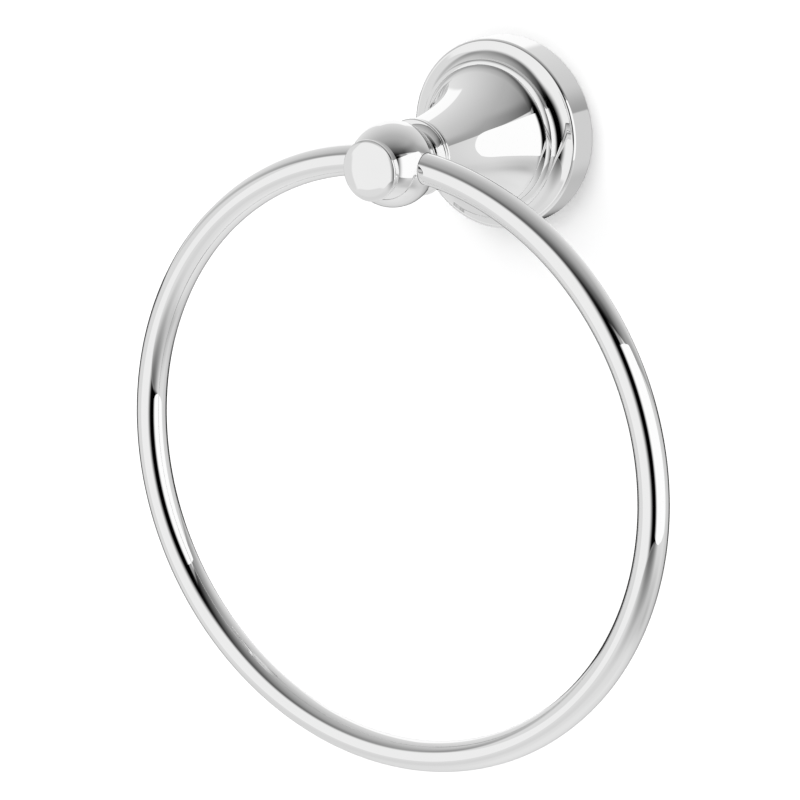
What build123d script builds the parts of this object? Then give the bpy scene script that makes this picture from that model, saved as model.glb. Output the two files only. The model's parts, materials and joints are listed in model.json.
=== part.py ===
from build123d import *

import os
from math import sqrt

# Towel ring for a wall: a turned rose, a bell-shaped post and a ball head stand out from the wall,
# and a round bar bent to a ring hangs in two sockets of the ball and swings there.
# Millimetres. The origin is on the wall, on the axis of the post. -Y points out into the room, +Z up.

# Ring
ring_outer_d = 165.0
ring_bar_d = 8.0
ring_bend_r = 6.0            # bend between the round of the ring and its straight ends
ring_end_chamfer = 0.5
pivot_clearance = 0.08       # radial, between a ring end and its socket
socket_end_gap = 0.3         # between a ring end and the floor of its socket
socket_web = 8.0             # metal left between the two sockets

# Ball head
ball_reach = 54.0            # wall to the middle of the ball
ball_d = 22.0
button_d = 15.94
button_foot_d = 15.0         # where its tapered side meets the ball
button_proud = 0.575         # crown of the button in front of the ball
button_face_d = 12.9
button_crown = 0.55          # height of the domed face
button_flat = 0.55           # share of the face's radius that stays nearly flat
button_fall_in = 0.33        # outside it the face holds one slope: share of its radius
button_fall_up = 0.78        # and share of its crown
button_shoulder_h = 0.665    # drop from the face to the edge
button_shoulder_bow = 0.074
button_edge_r = 0.5
neck_d = 14.2                # waist between the ball and the collar
neck_length = 0.82
collar_d = 19.9
collar_h = 0.75
collar_face_h = 0.45         # rise of the collar's front face from its edge to the neck
collar_face_bow = 0.14
collar_edge_r = 0.45
collar_back_edge_r = 0.18
head_spigot_d = 10.0
head_spigot_h = 1.8
spigot_clearance = 0.1       # round the spigot and behind it
head_thread_depth = 7.5      # from the back of the collar

# Bell post
bell_tip_d = 18.26
bell_rim_d = 19.36           # half-round rim at the tip
bell_rim_h = 1.03
tip_groove_d = 17.6          # groove between that rim and the collar
tip_groove_h = 0.62
foot_sweep_w = 1.75          # tight sweep at the foot, before the long flare
foot_sweep_h = 1.62
foot_sweep_bow = 0.17
flare_foot_in = 0.614        # how far the flare holds the slope of the sweep: share of its narrowing
flare_foot_up = 0.275        # and share of its length
flare_tip_in = 0.12          # the same at the tip
flare_tip_up = 0.358
bell_foot_wall = 4.8
bell_bore_depth = 3.5
bell_waist_in = 0.11         # the hollow narrows to a waist: share of the flare's narrowing
bell_waist_up = 0.36         # and share of its length
bell_hollow_tip_d = 13.0
bell_web = 5.0               # solid end that the tie screw passes through

# Wall rose
rose_d = 50.0
rose_edge_h = 8.35           # wall to the outer edge
rose_edge_r = 0.9
lip_w = 0.95                 # narrow lip inside the rounded edge
lip_rise = 0.07
cone_w = 1.0                 # shallow cone between the lip and the cove
cone_rise = 0.27
cove_w = 2.895
cove_h = 1.7
cove_bow = 0.23              # how far the cove is hollowed
step_h = 1.23                # upright step from the cove to the bead
bead_w = 1.305               # bead round the foot of the bell
bead_h = 0.54
bead_bow = 0.05
bead_edge_r = 0.17
seat_depth = 1.0             # the bell stands this deep inside the bead
seat_clearance = 0.05
rose_wall = 2.2
rose_web = 2.2
rose_recess_d = 36.0

# Tie screw and washer
screw_d = 6.0
screw_thread_clearance = 0.05
screw_hole_d = 6.6
screw_reach = 6.0            # engaged in the head, from the back of the collar
screw_head_d = 11.0
screw_head_h = 3.4
screw_socket_af = 4.0
screw_head_round = 1.0
screw_tip_chamfer = 0.8
screw_socket_depth = 2.0
washer_d = 14.0
washer_h = 1.2

# Wall bracket and its grub screw
bracket_clearance = 0.2      # radial, inside the rose
bracket_floor = 2.2
bracket_rim_w = 3.6
bracket_top_gap = 0.3        # under the ceiling of the rose
groove_reach = 3.6           # wall to the middle of the groove
groove_depth = 1.9
wall_hole_spacing = 26.0
wall_hole_d = 4.8
wall_hole_sink_d = 7.4
wall_hole_angle = 90.0
grub_d = 4.0
grub_clearance = 0.05
grub_below_surface = 0.4
grub_seat_gap = 0.1
grub_point_d = 1.0
grub_socket_af = 2.0
grub_socket_depth = 1.4

# Sizes that follow from the ones above, radii first
bar_r = ring_bar_d / 2
ring_r = (ring_outer_d - ring_bar_d) / 2
ball_r = ball_d / 2
button_r = button_d / 2
button_foot_r = button_foot_d / 2
button_face_r = button_face_d / 2
neck_r = neck_d / 2
collar_r = collar_d / 2
rose_r = rose_d / 2
lip_inner_r = rose_r - lip_w
cone_inner_r = lip_inner_r - cone_w
bead_r = cone_inner_r - cove_w
seat_r = bead_r - bead_w
bell_foot_r = seat_r - seat_clearance
flare_r = bell_foot_r - foot_sweep_w
bell_tip_r = bell_tip_d / 2
bell_rim_r = bell_rim_d / 2
tip_groove_r = tip_groove_d / 2
cavity_r = rose_r - rose_wall
bracket_r = cavity_r - bracket_clearance
screw_hole_r = screw_hole_d / 2
spigot_r = head_spigot_d / 2
thread_r = screw_d / 2 + screw_thread_clearance
spigot_hole_r = spigot_r + spigot_clearance
bell_bore_r = bell_foot_r - bell_foot_wall
flare_narrowing = flare_r - bell_tip_r
bell_waist_r = bell_tip_r + bell_waist_in * flare_narrowing
socket_r = bar_r + pivot_clearance

# Distances from the wall, along the post
lip_top = rose_edge_h + lip_rise
cone_top = lip_top + cone_rise
cove_top = cone_top + cove_h
step_top = cove_top + step_h
bead_top = step_top + bead_h
bell_seat = bead_top - seat_depth
washer_seat = bell_seat - rose_web
screw_seat = washer_seat - washer_h
cavity_top = rose_edge_h - rose_wall
bracket_h = cavity_top - bracket_top_gap
flare_start = bead_top + foot_sweep_h
neck_front = ball_reach - sqrt(ball_r**2 - neck_r**2)
neck_back = neck_front - neck_length
collar_front = neck_back - collar_face_h
collar_back = collar_front - collar_h
tip_groove = collar_back - tip_groove_h
bell_tip = tip_groove - bell_rim_h
flare_length = bell_tip - flare_start
bell_waist = flare_start + bell_waist_up * flare_length
hollow_end = collar_back - bell_web
spigot_end = collar_back - head_spigot_h
spigot_hole_end = spigot_end - spigot_clearance
button_back = ball_reach + sqrt(ball_r**2 - button_foot_r**2)
button_front = ball_reach + ball_r + button_proud
button_face = button_front - button_crown
button_edge = button_face - button_shoulder_h
thread_end = collar_back + head_thread_depth

# Places along the pivot of the ring
socket_floor = socket_web / 2
ring_end = socket_floor + socket_end_gap
socket_mouth = sqrt(ball_r**2 - socket_r**2)
ring_drop = sqrt(ring_r**2 - socket_mouth**2)

# Turned pieces are drawn as half sections: across is the radius, up is the distance from the wall.
half_section = Plane(origin=(0, 0, 0), x_dir=(1, 0, 0), z_dir=(0, 0, -1))

# Wall rose: a turned cup, open at the wall. Its face runs from the rounded edge through a shallow cone
# and a cove to a step with a bead on it, and inside the bead is a flat seat for the bell.
with BuildPart() as wall_rose:
    with BuildSketch(half_section) as rose_section:
        with BuildLine():
            Polyline(
                (cavity_r, 0),
                (rose_r, 0),
                (rose_r, rose_edge_h),
                (lip_inner_r, lip_top),
                (cone_inner_r, cone_top),
            )
            SagittaArc((cone_inner_r, cone_top), (bead_r, cove_top), cove_bow)
            Line((bead_r, cove_top), (bead_r, step_top))
            SagittaArc((bead_r, step_top), (seat_r, bead_top), -bead_bow)
            Polyline(
                (seat_r, bead_top),
                (seat_r, bell_seat),
                (screw_hole_r, bell_seat),
                (screw_hole_r, washer_seat),
                (rose_recess_d / 2, washer_seat),
                (rose_recess_d / 2, cavity_top),
                (cavity_r, cavity_top),
                (cavity_r, 0),
            )
        make_face()
        fillet(rose_section.vertices().sort_by_distance((rose_r, rose_edge_h))[0], rose_edge_r)
        fillet(rose_section.vertices().sort_by_distance((bead_r, step_top))[0], bead_edge_r)
    revolve(axis=Axis.Y)
    # tapped hole for the grub screw, in the underside of the rose
    with BuildSketch(Plane.XY.offset(-bracket_r)):
        with Locations((0, -groove_reach)):
            Circle(grub_d / 2 + grub_clearance)
    extrude(amount=-rose_r, mode=Mode.SUBTRACT)
wall_rose.part.label = "wall_rose"

# Bell post: a turned trumpet with a half-round rim and a groove at its tip, hollowed from the back.
with BuildPart() as bell_post:
    with BuildSketch(half_section) as bell_section:
        with BuildLine():
            Polyline(
                (bell_bore_r, bell_seat),
                (bell_foot_r, bell_seat),
                (bell_foot_r, bead_top),
            )
            SagittaArc((bell_foot_r, bead_top), (flare_r, flare_start), foot_sweep_bow)
            Bezier(
                (flare_r, flare_start),
                (flare_r - flare_foot_in * flare_narrowing, flare_start + flare_foot_up * flare_length),
                (bell_tip_r + flare_tip_in * flare_narrowing, bell_tip - flare_tip_up * flare_length),
                (bell_tip_r, bell_tip),
            )
            ThreePointArc(
                (bell_tip_r, bell_tip),
                (bell_rim_r, (bell_tip + tip_groove) / 2),
                (tip_groove_r, tip_groove),
            )
            Polyline(
                (tip_groove_r, tip_groove),
                (tip_groove_r, collar_back),
                (spigot_hole_r, collar_back),
                (spigot_hole_r, spigot_hole_end),
                (screw_hole_r, spigot_hole_end),
                (screw_hole_r, hollow_end),
                (bell_hollow_tip_d / 2, hollow_end),
                (bell_waist_r, bell_waist),
                (bell_bore_r, bell_seat + bell_bore_depth),
                (bell_bore_r, bell_seat),
            )
        make_face()
    revolve(axis=Axis.Y)
bell_post.part.label = "bell_post"

# Ball head: button, ball, neck and collar turned as one, with a tapped spigot at the back
# and a blind socket in each side for the ends of the ring.
with BuildPart() as ball_head:
    with BuildSketch(half_section) as head_section:
        with BuildLine():
            Polyline(
                (0, thread_end),
                (thread_r, thread_end),
                (thread_r, spigot_end),
                (spigot_r, spigot_end),
                (spigot_r, collar_back),
                (collar_r, collar_back),
                (collar_r, collar_front),
            )
            SagittaArc((collar_r, collar_front), (neck_r, neck_back), -collar_face_bow)
            Line((neck_r, neck_back), (neck_r, neck_front))
            ThreePointArc((neck_r, neck_front), (ball_r, ball_reach), (button_foot_r, button_back))
            Line((button_foot_r, button_back), (button_r, button_edge))
            SagittaArc((button_r, button_edge), (button_face_r, button_face), -button_shoulder_bow)
            Bezier(
                (0, button_front),
                (button_flat * button_face_r, button_front),
                ((1 - button_fall_in) * button_face_r, button_face + button_fall_up * button_crown),
                (button_face_r, button_face),
            )
            Line((0, button_front), (0, thread_end))
        make_face()
        fillet(head_section.vertices().sort_by_distance((button_r, button_edge))[0], button_edge_r)
        fillet(head_section.vertices().sort_by_distance((collar_r, collar_front))[0], collar_edge_r)
        fillet(head_section.vertices().sort_by_distance((collar_r, collar_back))[0], collar_back_edge_r)
    revolve(axis=Axis.Y)
    for side in (-1, 1):
        with BuildSketch(Plane.YZ.offset(side * socket_floor)):
            with Locations((-ball_reach, 0)):
                Circle(socket_r)
        extrude(amount=side * ball_r, mode=Mode.SUBTRACT)
ball_head.part.label = "ball_head"

# Towel ring: one bar bent to a circle, with two straight ends that face each other in the sockets.
with BuildPart() as towel_ring:
    with BuildLine(Plane.XZ.offset(ball_reach)) as ring_path:
        Line((ring_end, 0), (socket_mouth, 0))
        ThreePointArc((socket_mouth, 0), (0, -ring_drop - ring_r), (-socket_mouth, 0))
        Line((-socket_mouth, 0), (-ring_end, 0))
        for bend in ((socket_mouth, 0), (-socket_mouth, 0)):
            fillet(ring_path.vertices().sort_by_distance((bend[0], -ball_reach, 0))[0], ring_bend_r)
    with BuildSketch(Plane.YZ.offset(ring_end)):
        with Locations((-ball_reach, 0)):
            Circle(bar_r)
    sweep(path=ring_path.wires()[0])
    end_edges = towel_ring.faces().filter_by(GeomType.PLANE).edges()
    chamfer(end_edges, ring_end_chamfer)
towel_ring.part.label = "towel_ring"

# Washer and tie screw: from inside the rose the screw draws the rose, the bell and the head together.
with BuildPart() as tie_washer:
    with BuildSketch(Plane.XZ.offset(screw_seat)):
        Circle(washer_d / 2)
        Circle(screw_hole_r, mode=Mode.SUBTRACT)
    extrude(amount=washer_h)
tie_washer.part.label = "tie_washer"

with BuildPart() as tie_screw:
    with BuildSketch(half_section) as screw_section:
        with BuildLine():
            Polyline(
                (0, screw_seat - screw_head_h),
                (screw_head_d / 2, screw_seat - screw_head_h),
                (screw_head_d / 2, screw_seat),
                (screw_d / 2, screw_seat),
                (screw_d / 2, collar_back + screw_reach),
                (0, collar_back + screw_reach),
                close=True,
            )
        make_face()
        head_corner = (screw_head_d / 2, screw_seat - screw_head_h)
        fillet(screw_section.vertices().sort_by_distance(head_corner)[0], screw_head_round)
        tip_corner = (screw_d / 2, collar_back + screw_reach)
        chamfer(screw_section.vertices().sort_by_distance(tip_corner)[0], screw_tip_chamfer)
    revolve(axis=Axis.Y)
    with BuildSketch(Plane.XZ.offset(screw_seat - screw_head_h)):
        RegularPolygon(screw_socket_af / 2, 6, major_radius=False)
    extrude(amount=screw_socket_depth, mode=Mode.SUBTRACT)
tie_screw.part.label = "tie_screw"

# Wall bracket: a turned dish screwed to the wall, with a groove round its rim for the grub screw.
with BuildPart() as wall_bracket:
    with BuildSketch(half_section):
        with BuildLine():
            Polyline(
                (0, 0),
                (bracket_r, 0),
                (bracket_r, groove_reach - groove_depth),
                (bracket_r - groove_depth, groove_reach),
                (bracket_r, groove_reach + groove_depth),
                (bracket_r, bracket_h),
                (bracket_r - bracket_rim_w, bracket_h),
                (bracket_r - bracket_rim_w, bracket_floor),
                (0, bracket_floor),
                close=True,
            )
        make_face()
    revolve(axis=Axis.Y)
    with Locations(Plane.XZ.offset(bracket_floor)):
        with GridLocations(wall_hole_spacing, 0, 2, 1):
            CounterSinkHole(wall_hole_d / 2, wall_hole_sink_d / 2, bracket_floor, wall_hole_angle)
wall_bracket.part.label = "wall_bracket"

# Grub screw: driven up through the underside of the rose, its cone point seats in the bracket's groove.
grub_foot = rose_r - grub_below_surface
grub_point = bracket_r - groove_depth + grub_point_d / 2 + grub_seat_gap * sqrt(2)
grub_shoulder = grub_point + (grub_d - grub_point_d) / 2
with BuildPart() as grub_screw:
    with BuildSketch(Plane(origin=(0, -groove_reach, 0), x_dir=(1, 0, 0), z_dir=(0, 1, 0))):
        with BuildLine():
            Polyline(
                (0, grub_point),
                (grub_point_d / 2, grub_point),
                (grub_d / 2, grub_shoulder),
                (grub_d / 2, grub_foot),
                (0, grub_foot),
                close=True,
            )
        make_face()
    revolve(axis=Axis((0, -groove_reach, 0), (0, 0, 1)))
    with BuildSketch(Plane(origin=(0, -groove_reach, -grub_foot))):
        RegularPolygon(grub_socket_af / 2, 6, major_radius=False)
    extrude(amount=grub_socket_depth, mode=Mode.SUBTRACT)
grub_screw.part.label = "grub_screw"

os.makedirs("parts", exist_ok=True)
for piece in (wall_rose, bell_post, ball_head, towel_ring, tie_washer, tie_screw, wall_bracket, grub_screw):
    export_step(piece.part, f"parts/{piece.part.label}.step")
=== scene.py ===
import json
from math import atan2, copysign, cos, pi, radians, sin, sqrt, tan

import bmesh
import bpy
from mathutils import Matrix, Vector

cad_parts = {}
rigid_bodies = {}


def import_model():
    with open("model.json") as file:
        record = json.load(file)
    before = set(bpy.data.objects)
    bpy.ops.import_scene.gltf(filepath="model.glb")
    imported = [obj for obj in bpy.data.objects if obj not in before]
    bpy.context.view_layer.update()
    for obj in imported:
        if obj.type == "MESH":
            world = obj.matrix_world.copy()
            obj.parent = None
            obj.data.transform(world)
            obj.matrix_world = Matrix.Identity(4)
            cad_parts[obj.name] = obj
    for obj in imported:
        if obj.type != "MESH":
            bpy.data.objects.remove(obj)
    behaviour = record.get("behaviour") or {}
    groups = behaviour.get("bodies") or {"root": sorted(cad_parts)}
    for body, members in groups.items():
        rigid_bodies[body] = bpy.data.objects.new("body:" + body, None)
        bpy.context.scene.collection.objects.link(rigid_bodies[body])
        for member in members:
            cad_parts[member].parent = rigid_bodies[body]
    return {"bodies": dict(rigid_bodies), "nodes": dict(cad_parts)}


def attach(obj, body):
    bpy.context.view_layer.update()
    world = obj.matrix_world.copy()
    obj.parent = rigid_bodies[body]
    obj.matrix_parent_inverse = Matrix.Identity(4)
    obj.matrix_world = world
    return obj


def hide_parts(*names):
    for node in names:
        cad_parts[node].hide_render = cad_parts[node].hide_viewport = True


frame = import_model()

# The bare solids as they come, with nothing else on the bench.
wanted = set(frame["nodes"].values()) | set(frame["bodies"].values())
for spare in [thing for thing in bpy.data.objects if thing not in wanted]:
    bpy.data.objects.remove(spare)
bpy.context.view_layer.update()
mm = 0.001


# Wall bracket: a turned steel dish that two countersunk screws hold to the wall.
# It is hidden in the rose, and the groove round its rim takes the point of the grub screw.
class Shade:
    """One shader socket, so that a finish is written as plain sums."""

    def __init__(self, tree, socket=None):
        self.tree = tree
        self.socket = socket

    def node(self, kind, settings, sockets, output=0):
        made = self.tree.nodes.new("ShaderNode" + kind)
        for name, value in settings.items():
            setattr(made, name, value)
        for name, value in sockets.items():
            if isinstance(value, Shade):
                self.tree.links.new(value.socket, made.inputs[name])
            else:
                made.inputs[name].default_value = value
        return Shade(self.tree, made.outputs[output] if made.outputs else None)

    def sum(self, operation, first, second=0.0):
        return self.node("Math", {"operation": operation}, {0: first, 1: second})

    def __add__(self, other):
        return self.sum("ADD", self, other)

    def __sub__(self, other):
        return self.sum("SUBTRACT", self, other)

    def __rsub__(self, other):
        return self.sum("SUBTRACT", other, self)

    def __mul__(self, other):
        return self.sum("MULTIPLY", self, other)

    def __truediv__(self, other):
        return self.sum("DIVIDE", self, other)

    def __pow__(self, other):
        return self.sum("POWER", self, other)

    __radd__ = __add__
    __rmul__ = __mul__


def new_finish(name):
    finish = bpy.data.materials.new(name)
    finish.use_nodes = True
    finish.node_tree.nodes.clear()
    return finish, Shade(finish.node_tree)


def dress(piece, finish):
    piece.data.materials.clear()
    piece.data.materials.append(finish)


def grey(level):
    return (level, level, level, 1.0)


def turned_steel(name, light, dark, smooth, rough):
    """Bare or zinc-plated steel with the fine rings that a lathe leaves."""
    finish, shade = new_finish(name)
    place = shade.node("TexCoord", {}, {}, "Object")
    rings = shade.node(
        "TexWave",
        {"wave_type": "RINGS", "rings_direction": "Y"},
        {"Vector": place, "Scale": 900.0, "Distortion": 1.2, "Detail": 2.0, "Detail Scale": 60.0},
        "Fac",
    )
    cloud = shade.node("TexNoise", {}, {"Vector": place, "Scale": 160.0, "Detail": 3.0})
    tone = shade.node(
        "Mix", {"data_type": "RGBA"}, {"Factor": cloud, "A": grey(dark), "B": grey(light)}, "Result"
    )
    relief = shade.node("Bump", {}, {"Height": rings, "Strength": 0.25, "Distance": 0.02 * mm})
    metal = shade.node(
        "BsdfPrincipled",
        {},
        {
            "Base Color": tone,
            "Metallic": 1.0,
            "Roughness": smooth + (rough - smooth) * cloud,
            "Normal": relief,
        },
    )
    shade.node("OutputMaterial", {}, {"Surface": metal})
    return finish


bracket = frame["nodes"]["wall_bracket"]
dress(bracket, turned_steel("bracket_turned_steel", light=0.66, dark=0.52, smooth=0.24, rough=0.4))


# Wall rose: a cup turned from brass, polished and chromed. Its face runs from the rounded edge
# through a cove to a step with a bead. It drops over the bracket, and a grub screw through its
# underside holds it there.
def run(start, end, hollow=0.0, steps=10):
    """Points along one run of a turned outline: an arc that dips, or bulges where hollow is negative."""
    start, end = Vector(start), Vector(end)
    along, middle = end - start, (start + end) / 2
    across = Vector((-along.y, along.x)).normalized()
    points = []
    for step in range(steps + 1):
        if hollow:
            swing = 2 * atan2(abs(hollow), along.length / 2)
            radius = along.length / 2 / sin(swing)
            angle = swing * (2 * step / steps - 1)
            dip = copysign(radius * (cos(angle) - cos(swing)), hollow)
            points.append(middle + along.normalized() * radius * sin(angle) + across * dip)
        else:
            points.append(start + along * (1 - cos(pi * step / steps)) / 2)
    return points


def outline(*runs):
    """One closed outline from its runs. A number between two of them rounds that corner."""
    runs = list(runs)
    for place, radius in enumerate(runs):
        if isinstance(radius, (int, float)):
            before, after = runs[place - 1], runs[place + 1]
            corner = after[0]
            into = (before[-1] - before[-2]).normalized()
            out = (after[1] - after[0]).normalized()
            bend = into.angle_signed(out)
            cut = radius * tan(abs(bend) / 2)
            while (before[-1] - corner).length < cut * 1.02:
                before.pop()
            while (after[0] - corner).length < cut * 1.02:
                after.pop(0)
            spot, steps = corner - into * cut, 8
            chord = 2 * radius * sin(abs(bend) / steps / 2)
            rounding = [spot]
            for step in range(steps):
                heading = bend * (step + 0.5) / steps
                ahead = Vector((
                    into.x * cos(heading) + into.y * sin(heading),
                    into.y * cos(heading) - into.x * sin(heading),
                ))
                spot = spot + ahead * chord
                rounding.append(spot)
            runs[place] = rounding
    points = []
    for point in sum(runs, []):
        if not points or (point - points[-1]).length > 1e-4:
            points.append(point)
    if (points[0] - points[-1]).length < 1e-4:
        points.pop()
    return points


def piece_from(name, shape):
    """A smooth-shaded object from a bmesh, with its hard corners kept hard."""
    bmesh.ops.recalc_face_normals(shape, faces=shape.faces)
    mesh = bpy.data.meshes.new(name)
    shape.to_mesh(mesh)
    shape.free()
    mesh.shade_smooth()
    mesh.set_sharp_from_angle(angle=radians(30.0))
    piece = bpy.data.objects.new(name, mesh)
    bpy.context.scene.collection.objects.link(piece)
    return piece


def turn(name, points, around=256):
    """A piece turned about the axis of the post, from radii and distances from the wall."""
    shape = bmesh.new()
    loops = []
    for point in points:
        if point.x < 1e-6:
            loops.append([shape.verts.new((0, -point.y * mm, 0))] * around)
            continue
        loop = []
        for step in range(around):
            bearing = 2 * pi * (step + 0.5) / around
            spot = Vector((point.x * sin(bearing), -point.y, point.x * cos(bearing)))
            loop.append(shape.verts.new(spot * mm))
        loops.append(loop)
    for near, far in zip(loops, loops[1:] + loops[:1]):
        for step in range(around):
            after = (step + 1) % around
            corners = dict.fromkeys((near[step], near[after], far[after], far[step]))
            if len(corners) > 2:
                shape.faces.new(list(corners))
    return piece_from(name, shape)


def drill(piece, start, end, radius):
    """Bores a round hole from start to end, in millimetres."""
    start, end = Vector(start), Vector(end)
    shape = bmesh.new()
    bmesh.ops.create_cone(
        shape,
        cap_ends=True,
        segments=96,
        radius1=radius * mm,
        radius2=radius * mm,
        depth=(end - start).length * mm,
    )
    bit = piece_from("bit", shape)
    bit.location = (start + end) / 2 * mm
    bit.rotation_mode = "QUATERNION"
    bit.rotation_quaternion = (end - start).to_track_quat("Z", "Y")
    cut = piece.modifiers.new("hole", "BOOLEAN")
    cut.operation = "DIFFERENCE"
    cut.solver = "EXACT"
    cut.object = bit
    bpy.context.view_layer.update()
    bored = piece.evaluated_get(bpy.context.evaluated_depsgraph_get())
    mesh = bpy.data.meshes.new_from_object(bored)
    piece.modifiers.clear()
    piece.data = mesh
    mesh.set_sharp_from_angle(angle=radians(30.0))
    bpy.data.objects.remove(bit)


def chrome(name, haze_size):
    """Bright chrome: a mirror with the faintest haze and ripple left by the polishing wheel."""
    finish, shade = new_finish(name)
    place = shade.node("TexCoord", {}, {}, "Object")
    haze = shade.node(
        "TexNoise", {}, {"Vector": place, "Scale": 1 / haze_size, "Detail": 3.0, "Roughness": 0.55}
    )
    ripple = shade.node("TexNoise", {}, {"Vector": place, "Scale": 240.0, "Detail": 1.0})
    tone = shade.node(
        "Mix", {"data_type": "RGBA"}, {"Factor": haze, "A": grey(0.91), "B": grey(0.95)}, "Result"
    )
    relief = shade.node("Bump", {}, {"Height": ripple, "Strength": 0.1, "Distance": 0.001 * mm})
    metal = shade.node(
        "BsdfPrincipled",
        {},
        {
            "Base Color": tone,
            "Metallic": 1.0,
            "Roughness": 0.012 + 0.03 * haze * haze,
            "Normal": relief,
        },
    )
    shade.node("OutputMaterial", {}, {"Surface": metal})
    return finish


rose_r, rose_edge, lip_r, lip_top = 25.0, 8.35, 24.05, 8.42
cone_r, cone_top, bead_r, cove_top = 23.05, 8.69, 20.155, 10.39
step_top, seat_r, bead_top = 11.62, 18.85, 12.16
bell_seat, screw_hole_r = 11.16, 3.3
cavity_r, cavity_top, recess_r, washer_seat = 22.8, 6.15, 18.0, 8.96
wall_edge_round, edge_round, step_round = 0.12, 0.9, 0.17
cove_dip, bead_bulge = 0.23, 0.05
grub_hole_r, grub_out, grub_hole_in, grub_hole_end = 2.05, 3.6, 20.0, 30.0
rose = turn(
    "wall_rose_chromed",
    outline(
        run((cavity_r, 0), (rose_r, 0), steps=4),
        wall_edge_round,
        run((rose_r, 0), (rose_r, rose_edge), steps=14),
        edge_round,
        run((rose_r, rose_edge), (lip_r, lip_top), steps=4),
        run((lip_r, lip_top), (cone_r, cone_top), steps=8),
        run((cone_r, cone_top), (bead_r, cove_top), hollow=cove_dip, steps=30),
        run((bead_r, cove_top), (bead_r, step_top), steps=8),
        step_round,
        run((bead_r, step_top), (seat_r, bead_top), hollow=-bead_bulge, steps=12),
        run((seat_r, bead_top), (seat_r, bell_seat), steps=3),
        run((seat_r, bell_seat), (screw_hole_r, bell_seat), steps=4),
        run((screw_hole_r, bell_seat), (screw_hole_r, washer_seat), steps=3),
        run((screw_hole_r, washer_seat), (recess_r, washer_seat), steps=4),
        run((recess_r, washer_seat), (recess_r, cavity_top), steps=3),
        run((recess_r, cavity_top), (cavity_r, cavity_top), steps=3),
        run((cavity_r, cavity_top), (cavity_r, 0), steps=4),
    ),
)
drill(rose, (0, -grub_out, -grub_hole_in), (0, -grub_out, -grub_hole_end), grub_hole_r)
dress(rose, chrome("rose_bright_chrome", 0.03))
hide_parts("wall_rose")
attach(rose, "wall_post")

# Bell post: a trumpet turned from brass and chromed, with a half-round rim and a groove at its tip.
# It stands in the seat inside the bead, and is hollow so that the tie screw can pass.
def curve(start, pull_out, pull_in, end, steps):
    """Points along a smooth run that leaves towards one point and arrives from another."""
    points = []
    for step in range(steps + 1):
        part = step / steps
        left = 1 - part
        spot = Vector(start) * left**3 + Vector(pull_out) * 3 * left**2 * part
        points.append(spot + Vector(pull_in) * 3 * left * part**2 + Vector(end) * part**3)
    return points


foot_r, flare_r, flare_start = 18.8, 17.05, 13.78
tip_r, tip, groove_r, groove, collar_back = 9.13, 41.928, 8.8, 42.958, 43.578
flare_pull, tip_pull, foot_dip, rim_bulge = (12.187, 21.521), (10.08, 31.851), 0.17, 0.725
bore_r, bore_end, waist_r, waist = 14.0, bell_seat + 3.5, 10.0, 23.91
hollow_end_r, hollow_end = 6.5, collar_back - 5.0
spigot_hole_r, spigot_hole_end = 5.1, collar_back - 1.9
bell = turn(
    "bell_post_chromed",
    outline(
        run((bore_r, bell_seat), (foot_r, bell_seat), steps=3),
        run((foot_r, bell_seat), (foot_r, bead_top), steps=3),
        run((foot_r, bead_top), (flare_r, flare_start), hollow=foot_dip, steps=16),
        curve((flare_r, flare_start), flare_pull, tip_pull, (tip_r, tip), steps=72),
        run((tip_r, tip), (groove_r, groove), hollow=-rim_bulge, steps=16),
        run((groove_r, groove), (groove_r, collar_back), steps=4),
        run((groove_r, collar_back), (spigot_hole_r, collar_back), steps=4),
        run((spigot_hole_r, collar_back), (spigot_hole_r, spigot_hole_end), steps=3),
        run((spigot_hole_r, spigot_hole_end), (screw_hole_r, spigot_hole_end), steps=3),
        run((screw_hole_r, spigot_hole_end), (screw_hole_r, hollow_end), steps=3),
        run((screw_hole_r, hollow_end), (hollow_end_r, hollow_end), steps=3),
        run((hollow_end_r, hollow_end), (waist_r, waist), steps=4),
        run((waist_r, waist), (bore_r, bore_end), steps=4),
        run((bore_r, bore_end), (bore_r, bell_seat), steps=3),
    ),
)
dress(bell, chrome("bell_bright_chrome", 0.026))
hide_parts("bell_post")
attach(bell, "wall_post")

# Ball head: button, ball, neck and collar turned from one bar of brass and chromed.
# The tie screw draws its spigot into the bell, and a blind socket in each side takes an end of the ring.
ball_reach, ball_r, neck_r, collar_r = 54.0, 11.0, 7.1, 9.95
collar_front, neck_back = 44.328, 44.778
collar_back_round, collar_round, collar_bulge = 0.18, 0.45, 0.14
neck_front = ball_reach - sqrt(ball_r**2 - neck_r**2)
button_foot_r, button_r, button_face_r = 7.5, 7.97, 6.45
button_back = ball_reach + sqrt(ball_r**2 - button_foot_r**2)
button_edge, button_face, button_front = 64.36, 65.025, 65.575
button_round, button_bulge, face_pull, middle_pull = 0.5, 0.074, (4.3215, 65.454), (3.5475, 65.575)
ball_middle = Vector(((neck_r + button_foot_r) / 2, (neck_front + button_back) / 2 - ball_reach))
ball_bulge = ball_r - ball_middle.length
spigot_r, spigot_end, thread_r, thread_end = 5.0, collar_back - 1.8, 3.05, collar_back + 7.5
socket_r, socket_floor, past_ball = 4.08, 4.0, 15.0
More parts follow.
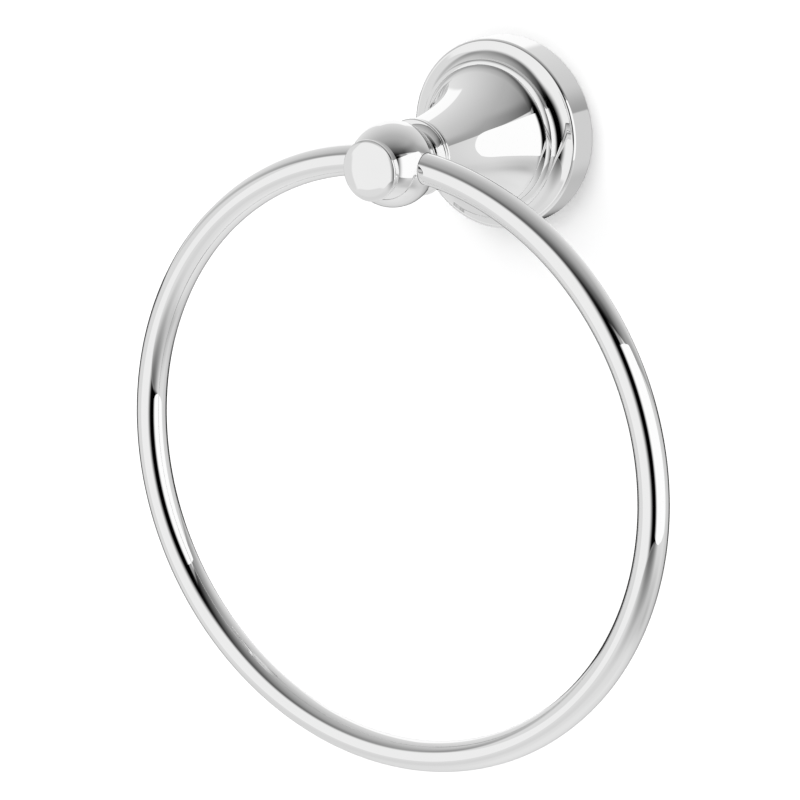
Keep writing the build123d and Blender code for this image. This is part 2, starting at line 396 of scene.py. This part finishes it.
head = turn(
    "ball_head_chromed",
    outline(
        run((0, thread_end), (thread_r, thread_end), steps=3),
        run((thread_r, thread_end), (thread_r, spigot_end), steps=4),
        run((thread_r, spigot_end), (spigot_r, spigot_end), steps=3),
        run((spigot_r, spigot_end), (spigot_r, collar_back), steps=3),
        run((spigot_r, collar_back), (collar_r, collar_back), steps=8),
        collar_back_round,
        run((collar_r, collar_back), (collar_r, collar_front), steps=8),
        collar_round,
        run((collar_r, collar_front), (neck_r, neck_back), hollow=-collar_bulge, steps=20),
        run((neck_r, neck_back), (neck_r, neck_front), steps=4),
        run((neck_r, neck_front), (button_foot_r, button_back), hollow=-ball_bulge, steps=72),
        run((button_foot_r, button_back), (button_r, button_edge), steps=10),
        button_round,
        run((button_r, button_edge), (button_face_r, button_face), hollow=-button_bulge, steps=12),
        curve((button_face_r, button_face), face_pull, middle_pull, (0, button_front), steps=24),
    ),
)
for side in (-1, 1):
    drill(head, (side * socket_floor, -ball_reach, 0), (side * past_ball, -ball_reach, 0), socket_r)
dress(head, chrome("head_bright_chrome", 0.022))
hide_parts("ball_head")
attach(head, "wall_post")

# Tie screw and washer: plain zinc-plated steel, driven from inside the rose.
# The screw draws the rose, the bell and the head into one stiff post.
for name in ("tie_screw", "tie_washer"):
    zinc = turned_steel(name + "_zinc", light=0.7, dark=0.56, smooth=0.2, rough=0.36)
    dress(frame["nodes"][name], zinc)

# Grub screw: a small black-oiled steel screw with a socket and a cone point.
# It is driven up through the underside of the rose into the groove of the bracket.
oiled = turned_steel("grub_screw_steel", light=0.4, dark=0.28, smooth=0.22, rough=0.38)
dress(frame["nodes"]["grub_screw"], oiled)

# Towel ring: one round brass bar bent to a circle and chromed, with two short straight ends.
# The ends are sprung into the sockets of the ball, where the ring hangs and swings.
bar_r, ring_r, bend_r, ring_end, end_chamfer = 4.0, 78.5, 6.0, 4.3, 0.5
end_steps, bend_steps, ring_steps, bar_sides = 12, 10, 360, 72
mouth = sqrt(ball_r**2 - socket_r**2)
ring_drop = sqrt(ring_r**2 - mouth**2)
bend_x = sqrt((ring_r - bend_r) ** 2 - (ring_drop - bend_r) ** 2)
bend_turn = atan2(bend_x, ring_drop - bend_r)
tail = ring_end + end_chamfer
half = [(ring_end, 0.0, 0.0, bar_r - end_chamfer)]
for step in range(end_steps):
    half.append((tail + (bend_x - tail) * step / end_steps, 0.0, 0.0, bar_r))
for step in range(bend_steps):
    heading = bend_turn * step / bend_steps
    half.append((bend_x + bend_r * sin(heading), bend_r * cos(heading) - bend_r, heading, bar_r))
for step in range(ring_steps + 1):
    heading = bend_turn + (pi - bend_turn) * step / ring_steps
    half.append((ring_r * sin(heading), ring_r * cos(heading) - ring_drop, heading, bar_r))
route = half + [(-x, z, 2 * pi - heading, radius) for x, z, heading, radius in reversed(half[:-1])]
shape = bmesh.new()
loops = []
for x, z, heading, radius in route:
    out, across = Vector((sin(heading), 0, cos(heading))), Vector((0, 1, 0))
    loop = []
    for step in range(bar_sides):
        bearing = 2 * pi * step / bar_sides
        spot = Vector((x, -ball_reach, z)) + radius * (cos(bearing) * out + sin(bearing) * across)
        loop.append(shape.verts.new(spot * mm))
    loops.append(loop)
for near, far in zip(loops, loops[1:]):
    for step in range(bar_sides):
        after = (step + 1) % bar_sides
        shape.faces.new((near[step], near[after], far[after], far[step]))
for loop in (loops[0], loops[-1]):
    shape.faces.new(loop)
ring = piece_from("towel_ring_chromed", shape)
dress(ring, chrome("ring_bright_chrome", 0.035))
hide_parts("towel_ring")
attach(ring, "ring")

# Bathroom wall: a plain pale panel behind the rose, swept out to a floor well below the ring.
# It takes the shadow of the rose, and is open to the studio for the chrome and from behind.
wall_half, wall_top, wall_low, wall_gap = 1.5, 1.2, -0.9, 0.35 * mm
sweep_r, sweep_steps, floor_out = 0.4, 24, 1.6
shape = bmesh.new()
section = [(wall_gap, wall_top), (wall_gap, wall_low + sweep_r)]
for step in range(1, sweep_steps + 1):
    heading = pi / 2 * step / sweep_steps
    section.append((
        wall_gap + sweep_r * (cos(heading) - 1),
        wall_low + sweep_r - sweep_r * sin(heading),
    ))
section.append((-floor_out, wall_low))
rails = [[shape.verts.new((x, y, z)) for y, z in section] for x in (-wall_half, wall_half)]
for step in range(len(section) - 1):
    shape.faces.new((rails[0][step], rails[0][step + 1], rails[1][step + 1], rails[1][step]))
mesh = bpy.data.meshes.new("pale_wall")
shape.to_mesh(mesh)
shape.free()
mesh.shade_smooth()
wall = bpy.data.objects.new("pale_wall", mesh)
bpy.context.scene.collection.objects.link(wall)
paint, shade = new_finish("pale_wall_paint")
glossy = shade.node("LightPath", {}, {}, "Is Glossy Ray")
through = shade.node("LightPath", {}, {}, "Is Transmission Ray")
behind = shade.node("NewGeometry", {}, {}, "Backfacing")
matt = shade.node("BsdfDiffuse", {}, {"Color": grey(0.95)})
clear = shade.node("BsdfTransparent", {}, {"Color": grey(1.0)})
opened = shade.sum("MAXIMUM", shade.sum("MAXIMUM", glossy, through), behind)
mixed = shade.node("MixShader", {}, {0: opened, 1: matt, 2: clear})
shade.node("OutputMaterial", {}, {"Surface": mixed})
dress(wall, paint)

# Studio: a light tent with a dark gap where the camera stands and a tall white softbox to its right.
# Its picture is what the chrome shows. Matt surfaces take an even soft light from it.
studio = bpy.data.worlds.new("studio")
bpy.context.scene.world = studio
studio.use_nodes = True
studio.node_tree.nodes.clear()
air = Shade(studio.node_tree)
toward = air.node("TexCoord", {}, {}, "Generated")
right = air.node("SeparateXYZ", {}, {"Vector": toward}, "X")
back = air.node("SeparateXYZ", {}, {"Vector": toward}, "Y")
up = air.node("SeparateXYZ", {}, {"Vector": toward}, "Z")


def fade(value, start, end):
    """Grows smoothly from 0 at start to 1 at end."""
    return air.node(
        "MapRange",
        {"interpolation_type": "SMOOTHSTEP"},
        {"Value": value, "From Min": start, "From Max": end},
    )


def between(value, start, full, last, end):
    """1 from full to last, and nothing before start and after end."""
    return fade(value, start, full) * fade(value, end, last)


def over(under, cover, level):
    """Lays a level over what is under it, as far as the cover reaches."""
    return under + (level - under) * cover


def at_least(value, least):
    return air.sum("MAXIMUM", value, least)


def at_most(value, most):
    return air.sum("MINIMUM", value, most)


# Bearings are in degrees, 0 straight out from the wall and 90 to the right.
# Heights are in degrees above the horizon.
bearing = air.sum("ARCTAN2", right, 0.0 - back) * (180 / pi)
round_bearing = bearing + 360.0 * air.sum("LESS_THAN", bearing, 0.0)
height = air.sum("ARCSINE", up) * (180 / pi)
camera_bearing = radians(35.0)
facing = right * sin(camera_bearing) - back * cos(camera_bearing)

# The ceiling darkens towards the camera, and its far edge runs straight across the right and the back.
ceiling_grey, ceiling_fall, fall_reach, fall_bend, ceiling_rise = 0.429, 0.433, 0.86, 1.42, 0.338
band_shade, edge_shade = 0.09, 0.214
ceiling = ceiling_grey - ceiling_fall * (at_least(facing, 0.0) / fall_reach) ** fall_bend
ceiling = at_least(ceiling, 0.0) + ceiling_rise * at_least(0.0 - facing, 0.0)
ceiling = ceiling - band_shade * fade(height, 58.0, 42.0) * between(facing, -0.3, 0.2, 0.5, 0.75)
edge = up * 0.801 - right * 0.541 + back * 0.195
far_right = between(round_bearing, 117.5, 145.5, 200.0, 225.0)
ceiling = at_least(ceiling - edge_shade * fade(edge, 0.339, 0.0) * far_right, 0.0)

# The floor is a pale sweep, greyer in front of the camera, below the softbox and behind the post.
floor_grey, floor_fall, floor_lift = 0.713, 0.791, 0.05
box_shade, foot_shade, post_shade, ring_shade, back_shade = 0.12, 0.07, 0.1, 0.051, 0.08
below_box = between(bearing, 34.6, 67.5, 95.0, 135.0)
box_foot = between(bearing, 85.0, 100.0, 115.0, 160.0)
behind_post = between(round_bearing, 120.0, 145.0, 200.0, 250.0)
low_back = between(round_bearing, 150.0, 165.0, 190.0, 215.0)
lit = at_least(fade(height, -60.0, -80.0), box_foot * fade(height, -52.0, -68.0))
floor = floor_grey - floor_fall * fade(facing, 0.6025, 1.07) + floor_lift * lit
floor = floor - box_shade * below_box * between(height, -59.0, -46.0, -38.0, -20.0)
floor = floor - foot_shade * box_foot * between(height, -53.0, -46.0, -45.0, -38.0)
floor = floor - post_shade * behind_post * fade(height, -50.0, -30.0)
floor = floor - ring_shade * between(height, -58.0, -48.0, -40.0, -28.0)
floor = floor - back_shade * low_back * between(height, -42.0, -35.0, -28.0, -20.0)
right_side = between(round_bearing, 40.0, 50.0, 212.0, 222.0)
skyline = over(fade(height, -1.0, 7.0), right_side, fade(edge, -0.012, 0.012))
picture = over(floor, skyline, ceiling)

# Low down at the back the studio is dark, and a white panel stands there in front of the dark.
dark_level, panel_level, panel_lean = 0.02, 0.955, 0.75
dark = between(round_bearing, 156.0, 179.0, 228.0, 236.0) * fade(height, -36.0, -18.0)
dark_left = between(round_bearing, 229.0, 234.0, 248.0, 275.0) * fade(height, -43.0, -16.0)
picture = over(picture, at_least(dark, dark_left) * fade(height, -0.6, -2.6), dark_level)
panel_side = round_bearing - panel_lean * at_most(height, 0.0)
panel = fade(round_bearing, 196.0, 202.0) * fade(panel_side, 233.0, 230.0)
picture = over(picture, panel * between(height, -11.5, -8.5, 33.0, 35.5), panel_level)

# The side of the tent hangs on the left, with a sloping top and a darker seam above it.
tent_grey, tent_lift, seam_shade = 0.692, 0.148, 0.13
slope = up / at_least(0.0 - back, 0.001) + 0.002 * (bearing + 30.0)
hem = height - 0.06 * at_most(at_least(bearing, -40.0), 0.0)
tent = between(bearing, -95.0, -85.0, 40.0, 60.0) * fade(slope, 0.93, 0.512) * fade(hem, -24.2, -22.6)
picture = over(picture, tent, tent_grey + tent_lift * fade(bearing, -53.7, -50.3))
turn_left = round_bearing - 294.0
over_edge = height - 25.0 - 0.32 * turn_left + 0.0115 * turn_left * turn_left
seam = between(over_edge, -7.0, -2.0, 1.0, 15.0) * between(round_bearing, 254.0, 262.0, 296.0, 316.0)
picture = picture - seam_shade * seam

# The gap for the camera is black, with a paler strip above its right half.
gap_level, strip_level = 0.0, 0.34
gap = between(bearing, 1.5, 28.0, 70.0, 85.0) * between(height, -24.3, -22.7, 28.5, 47.5)
picture = over(picture, gap, gap_level)
strip = between(bearing, 52.0, 62.0, 72.0, 80.0) * between(height, 28.5, 30.5, 33.0, 37.0)
picture = over(picture, strip, strip_level)

# The camera sees plain white, the chrome sees the picture, and matt surfaces take an even light.
seen = air.node("LightPath", {}, {}, "Is Camera Ray")
shiny = at_least(
    air.node("LightPath", {}, {}, "Is Glossy Ray"),
    air.node("LightPath", {}, {}, "Is Transmission Ray"),
)
chrome_level, soft_light = 0.93, 0.85
level = seen + shiny * picture / chrome_level + (1 - seen) * (1 - shiny) * soft_light
glow = air.node("Background", {}, {"Color": level, "Strength": 1.0})
air.node("OutputWorld", {}, {"Surface": glow})

# Softbox: a flat white cloth on a frame, a metre and a half to the right, with two round corners.
# Its left side fades out softly, and only the chrome shows it.
box_bearing, box_away, box_corner, corner_steps, box_level = radians(88.0), 1.55, 0.2, 12, 0.98
box_left, box_soft, box_right = -1.436, -0.765, 1.059
box_top, box_low, box_low_left = 0.941, -0.757, -0.85
box_ahead = Vector((sin(box_bearing), -cos(box_bearing), 0))
box_across = Vector((cos(box_bearing), sin(box_bearing), 0))
rim = [(box_left, box_low_left), (0.0, box_low)]
for quarter, corner_height in ((-1, box_low + box_corner), (0, box_top - box_corner)):
    for step in range(corner_steps + 1):
        heading = pi / 2 * (quarter + step / corner_steps)
        rim.append((
            box_right - box_corner + box_corner * cos(heading),
            corner_height + box_corner * sin(heading),
        ))
rim.append((box_left, box_top))
shape = bmesh.new()
shape.faces.new([
    shape.verts.new(box_ahead * box_away + box_across * along + Vector((0, 0, high)))
    for along, high in rim
])
mesh = bpy.data.meshes.new("softbox")
shape.to_mesh(mesh)
shape.free()
screen = bpy.data.objects.new("softbox", mesh)
bpy.context.scene.collection.objects.link(screen)
cloth, shade = new_finish("softbox_cloth")
place = shade.node("NewGeometry", {}, {}, "Position")
along = shade.node("VectorMath", {"operation": "DOT_PRODUCT"}, {0: place, 1: box_across}, "Value")
soft_side = shade.node(
    "MapRange",
    {"interpolation_type": "SMOOTHSTEP"},
    {"Value": along, "From Min": box_left, "From Max": box_soft},
)
clear = shade.node("BsdfTransparent", {}, {"Color": grey(1.0)})
bright = shade.node("Emission", {}, {"Color": grey(1.0), "Strength": box_level / chrome_level})
mixed = shade.node("MixShader", {}, {0: soft_side, 1: clear, 2: bright})
shade.node("OutputMaterial", {}, {"Surface": mixed})
dress(screen, cloth)
screen.visible_camera = False
screen.visible_diffuse = False
screen.visible_shadow = False

# Overhead lamp: a large soft square light, above and a little to the left of the post.
# It throws the shadow of the rose on the wall, and the chrome doesn't show it.
lamp_side, lamp_power, lamp_place = 1.2, 13.0, (-0.25, -1.45, 0.75)
lamp = bpy.data.lights.new("overhead_lamp", "AREA")
lamp.shape = "RECTANGLE"
lamp.size = lamp_side
lamp.size_y = lamp_side
lamp.energy = lamp_power
overhead = bpy.data.objects.new("overhead_lamp", lamp)
overhead.location = lamp_place
overhead.rotation_euler = (-overhead.location).to_track_quat("-Z", "Y").to_euler()
overhead.visible_glossy = False
bpy.context.scene.collection.objects.link(overhead)

# Camera: a long lens a little over a metre away, to the right of the post and a little above it.
# It is held level and looks at a point inside the ring.
aim, camera_away, camera_height = Vector((-0.8665, -49.647, -62.67)) * mm, 1128.72 * mm, radians(15.0)
lens = bpy.data.cameras.new("camera")
lens.lens = 198.07
lens.sensor_width = 36.0
lens.clip_start = 0.01
camera = bpy.data.objects.new("camera", lens)
away = Vector((
    sin(camera_bearing) * cos(camera_height),
    -cos(camera_bearing) * cos(camera_height),
    sin(camera_height),
))
camera.location = aim + away * camera_away
camera.rotation_euler = (-away).to_track_quat("-Z", "Y").to_euler()
bpy.context.scene.collection.objects.link(camera)
bpy.context.scene.camera = camera
bpy.context.scene.view_settings.view_transform = "Standard"

# Brings the scene up to date at the end.
bpy.context.view_layer.update()
